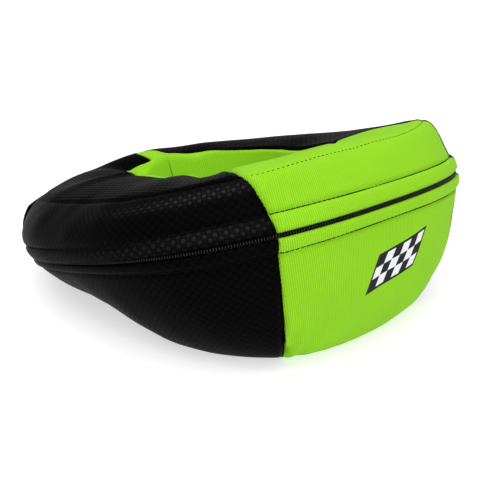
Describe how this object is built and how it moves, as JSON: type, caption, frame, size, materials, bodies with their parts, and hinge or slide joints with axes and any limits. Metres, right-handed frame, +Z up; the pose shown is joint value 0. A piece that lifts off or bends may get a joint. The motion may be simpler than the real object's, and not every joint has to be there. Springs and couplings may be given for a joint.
{
  "type": "neck brace",
  "caption": "Soft foam ring collar for motocross in a black carbon-look and fluorescent green sewn cover, zipped round its widest line and closed by a tab under the chin",
  "frame": {"origin": "centre of the bounding box's base, on the surface that the collar lies on", "axes": "+X towards the wearer's left arm of the collar, -Y towards the chin, +Z up; the collar lies on its own slanted underside, so its top slopes down to the chin"},
  "size_m": [0.2738, 0.2634, 0.1188],
  "materials": {
    "foam": "soft open-cell polyurethane foam, hidden inside the cover",
    "green_cloth": "fluorescent green woven polyester with fine ribs, matt",
    "black_vinyl": "black coated cloth embossed with a small twill pattern, satin",
    "zip_tape": "black woven tape, matt",
    "zip_coil": "black moulded coil, satin",
    "slider_metal": "black lacquered metal"
  },
  "bodies": {
    "root": {"foam_core": "foam", "upper_back_panel": "green_cloth", "lower_back_panel": "green_cloth", "upper_side_left": "black_vinyl", "upper_side_right": "black_vinyl", "lower_side_left": "black_vinyl", "lower_side_right": "black_vinyl", "neck_lining": "green_cloth", "arm_end_left": "black_vinyl", "arm_end_right": "black_vinyl", "zip_tape_upper": "zip_tape", "zip_tape_lower": "zip_tape", "zip_coil": "zip_coil", "zip_slider": "slider_metal", "closing_tab": "black_vinyl"}
  },
  "joints": []
}
